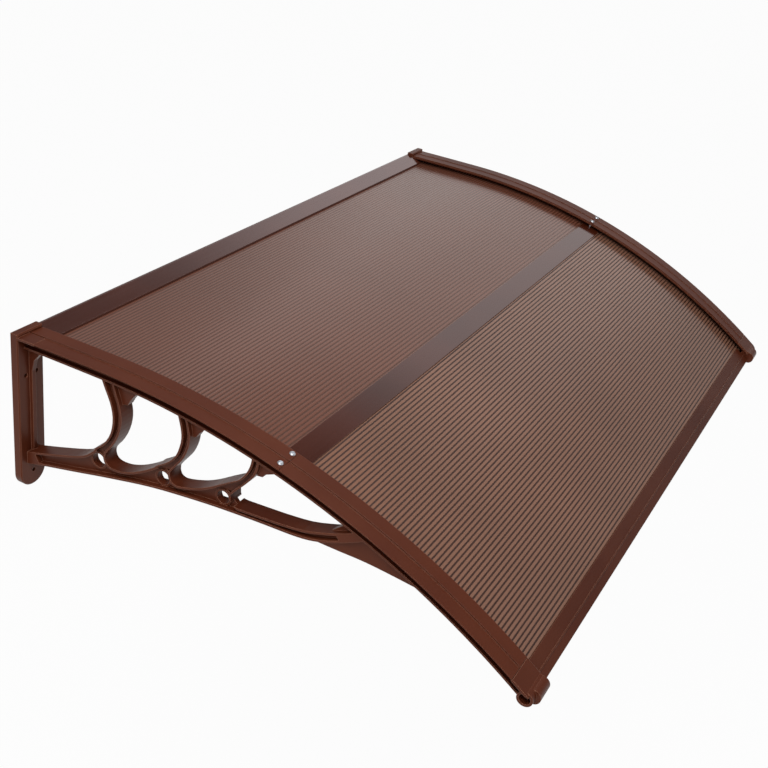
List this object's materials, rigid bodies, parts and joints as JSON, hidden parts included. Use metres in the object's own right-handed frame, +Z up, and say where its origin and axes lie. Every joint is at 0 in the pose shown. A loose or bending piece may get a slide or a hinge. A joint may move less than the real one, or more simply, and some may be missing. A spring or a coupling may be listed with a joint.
{
  "type": "door canopy",
  "caption": "Arched door canopy: moulded wall brackets with scrolls carry fluted twin-wall sheets held by rear, middle and front bars and press strips.",
  "frame": {"origin": "on the wall plane at mid width, on the back face of the rear bar, 8.7 mm below the top of the arm", "axes": "+X to the right seen from the front, +Y into the wall, +Z up; the canopy reaches out towards -Y"},
  "size_m": [1.2, 0.7991, 0.247],
  "materials": {
    "moulded_plastic": "brown injection-moulded plastic, satin",
    "press_strip": "brown coated aluminium strip, satin",
    "coated_bar": "brown coated aluminium extrusion, satin",
    "twin_wall_sheet": "brown tinted twin-wall polycarbonate, flutes across the width",
    "screw": "bright zinc"
  },
  "bodies": {
    "root": {"left_bracket": "moulded_plastic", "left_rear_outer_strip": "press_strip", "left_rear_inner_strip": "press_strip", "left_front_outer_strip": "press_strip", "left_front_inner_strip": "press_strip", "left_outer_screw": "screw", "left_inner_screw": "screw", "right_bracket": "moulded_plastic", "right_rear_outer_strip": "press_strip", "right_rear_inner_strip": "press_strip", "right_front_outer_strip": "press_strip", "right_front_inner_strip": "press_strip", "right_outer_screw": "screw", "right_inner_screw": "screw", "rear_bar": "coated_bar", "middle_bar": "coated_bar", "front_bar": "coated_bar", "rear_sheet": "twin_wall_sheet", "front_sheet": "twin_wall_sheet"}
  },
  "joints": []
}
